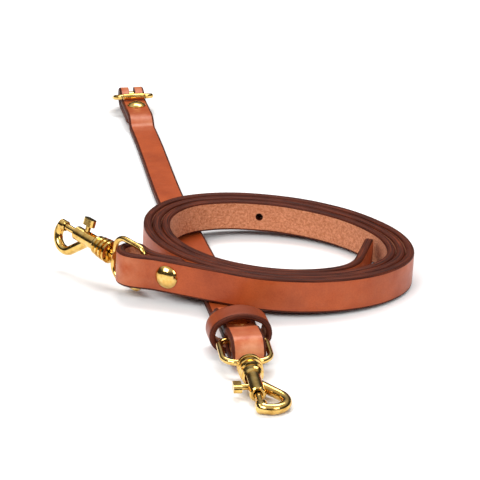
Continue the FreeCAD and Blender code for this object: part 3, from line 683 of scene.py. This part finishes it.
def finish_metal(node, material, rounding):
    """Gives a CAD piece its metal and softens its corners."""
    node.data.materials.clear()
    node.data.materials.append(material)
    for polygon in node.data.polygons:
        polygon.use_smooth = True
        polygon.material_index = 0
    bevel = node.modifiers.new("soft_corners", "BEVEL")
    bevel.width = rounding * MM
    bevel.segments = 2
    bevel.limit_method = "ANGLE"
    bevel.angle_limit = math.radians(ROUNDED_ANGLE)
    bevel.harden_normals = True


def dress_metal(nodes, steel):
    brass_material = brass()
    for name in BRASS_NODES:
        finish_metal(nodes[name], brass_material, BRASS_ROUNDING)
    for name in STEEL_NODES:
        finish_metal(nodes[name], steel, STEEL_ROUNDING)


def squeeze_springs(frame, material):
    """Puts a copy of each spring, in spring steel, on its snap in place of the CAD spring."""
    for joint in frame["joints"]:
        if not joint["name"].endswith("_thumb_slide"):
            continue
        side = joint["name"].split("_")[0]
        spring = frame["nodes"][f"{side}_spring"]
        coil = bpy.data.objects.new(f"{side}_spring_wire", spring.data.copy())
        coil.data.materials.clear()
        coil.data.materials.append(material)
        bpy.context.collection.objects.link(coil)
        backwards = Vector(joint["axis"])
        seat = max((vertex.co for vertex in coil.data.vertices), key=backwards.dot).copy()
        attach(coil, f"{side}_snap")
        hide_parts(spring.name)
        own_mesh(coil)


# ---------------------------------------------------------------- studio

def make_floor():
    bpy.ops.mesh.primitive_plane_add(size=FLOOR_SIZE)
    floor = bpy.context.object
    floor.name = "floor"
    floor.data.materials.append(floor_paper())


def add_softbox(name, place, width, length, power):
    """A rectangular lamp that faces the middle of the leash."""
    lamp = bpy.data.lights.new(name, "AREA")
    lamp.shape = "RECTANGLE"
    lamp.size = width
    lamp.size_y = length
    lamp.energy = power
    softbox = bpy.data.objects.new(name, lamp)
    softbox.location = place
    softbox.rotation_euler = (-Vector(place)).to_track_quat("-Z", "Y").to_euler()
    bpy.context.collection.objects.link(softbox)


def make_world():
    """A dim room that is brighter overhead, so that metal reflects both light and dark."""
    world = bpy.data.worlds.new("studio")
    world.use_nodes = True
    nodes = world.node_tree.nodes
    links = world.node_tree.links
    place = nodes.new("ShaderNodeTexCoord")
    split = nodes.new("ShaderNodeSeparateXYZ")
    ramp = nodes.new("ShaderNodeValToRGB")
    ramp.color_ramp.elements[0].position = 0.40
    ramp.color_ramp.elements[0].color = (0.05, 0.05, 0.055, 1.0)
    ramp.color_ramp.elements[1].position = 0.75
    ramp.color_ramp.elements[1].color = (0.72, 0.72, 0.72, 1.0)
    links.new(place.outputs["Generated"], split.inputs["Vector"])
    links.new(split.outputs["Z"], ramp.inputs["Fac"])
    links.new(ramp.outputs["Color"], nodes["Background"].inputs["Color"])
    nodes["Background"].inputs["Strength"].default_value = 1.0
    bpy.context.scene.world = world


def make_camera():
    data = bpy.data.cameras.new("camera")
    data.lens = CAMERA_LENS
    data.sensor_width = 36.0
    data.clip_end = 20.0
    camera = bpy.data.objects.new("camera", data)
    camera.location = CAMERA_PLACE
    camera.rotation_euler = (CAMERA_TARGET - CAMERA_PLACE).to_track_quat("-Z", "Y").to_euler()
    bpy.context.collection.objects.link(camera)
    bpy.context.scene.camera = camera


def make_studio():
    make_floor()
    make_world()
    for lamp in LAMPS:
        add_softbox(*lamp)
    make_camera()
    bpy.context.scene.view_settings.view_transform = "Standard"


# ---------------------------------------------------------------- all together


def main():
    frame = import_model()
    # The last colour given to each leather_grain is the painted highlight on the bends.
    grain = leather_grain("leather_grain", (0.31, 0.050, 0.010), (0.45, 0.083, 0.018), (0.68, 0.28, 0.14))
    flesh = leather_flesh("leather_flesh", (0.42, 0.135, 0.055), (0.70, 0.29, 0.15))
    edge = leather_edge("leather_edge", (0.018, 0.004, 0.003), (0.20, 0.038, 0.013))
    keeper_grain = leather_grain("keeper_grain", (0.17, 0.028, 0.007), (0.26, 0.046, 0.012),
                                 (0.32, 0.065, 0.020))
    short_strap = make_short_strap(grain, flesh, edge)
    long_strap = make_long_strap(grain, flesh, edge)
    make_keeper(keeper_grain, flesh, edge)
    steel = spring_steel()
    dress_metal(frame["nodes"], steel)
    squeeze_springs(frame, steel)
    make_studio()


main()
